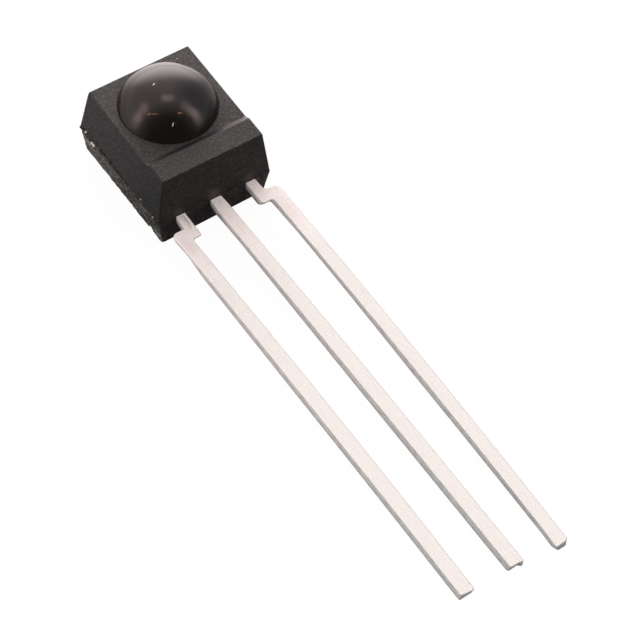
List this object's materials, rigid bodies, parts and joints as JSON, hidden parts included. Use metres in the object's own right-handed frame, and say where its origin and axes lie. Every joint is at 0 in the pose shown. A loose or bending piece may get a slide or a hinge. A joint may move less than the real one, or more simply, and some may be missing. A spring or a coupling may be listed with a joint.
{
  "type": "infrared receiver module",
  "caption": "Infrared receiver module: a small black moulded body with a dome lens on its front and flat tinned leads running out of one end.",
  "frame": {"origin": "middle of the moulded body's flat back face", "axes": "+Z out of the front through the lens, +Y from the leads towards the body's far end, +X from the output lead towards the supply lead"},
  "size_m": [0.006, 0.0311, 0.0056],
  "materials": {
    "moulding_compound": "fine matte texture on the body, polished on the lens",
    "tinned_lead": "matte tin plating",
    "silicon": "polished",
    "die_attach": "silver-filled adhesive",
    "gold_wire": "bright drawn wire"
  },
  "bodies": {
    "root": {"epoxy_body": "moulding_compound", "output_lead": "tinned_lead", "ground_lead": "tinned_lead", "supply_lead": "tinned_lead", "photodiode_die": "silicon", "photodiode_die_attach": "die_attach", "receiver_die": "silicon", "receiver_die_attach": "die_attach", "bond_wire_signal": "gold_wire", "bond_wire_bias": "gold_wire", "bond_wire_output": "gold_wire", "bond_wire_supply": "gold_wire", "bond_wire_ground": "gold_wire"}
  },
  "joints": []
}
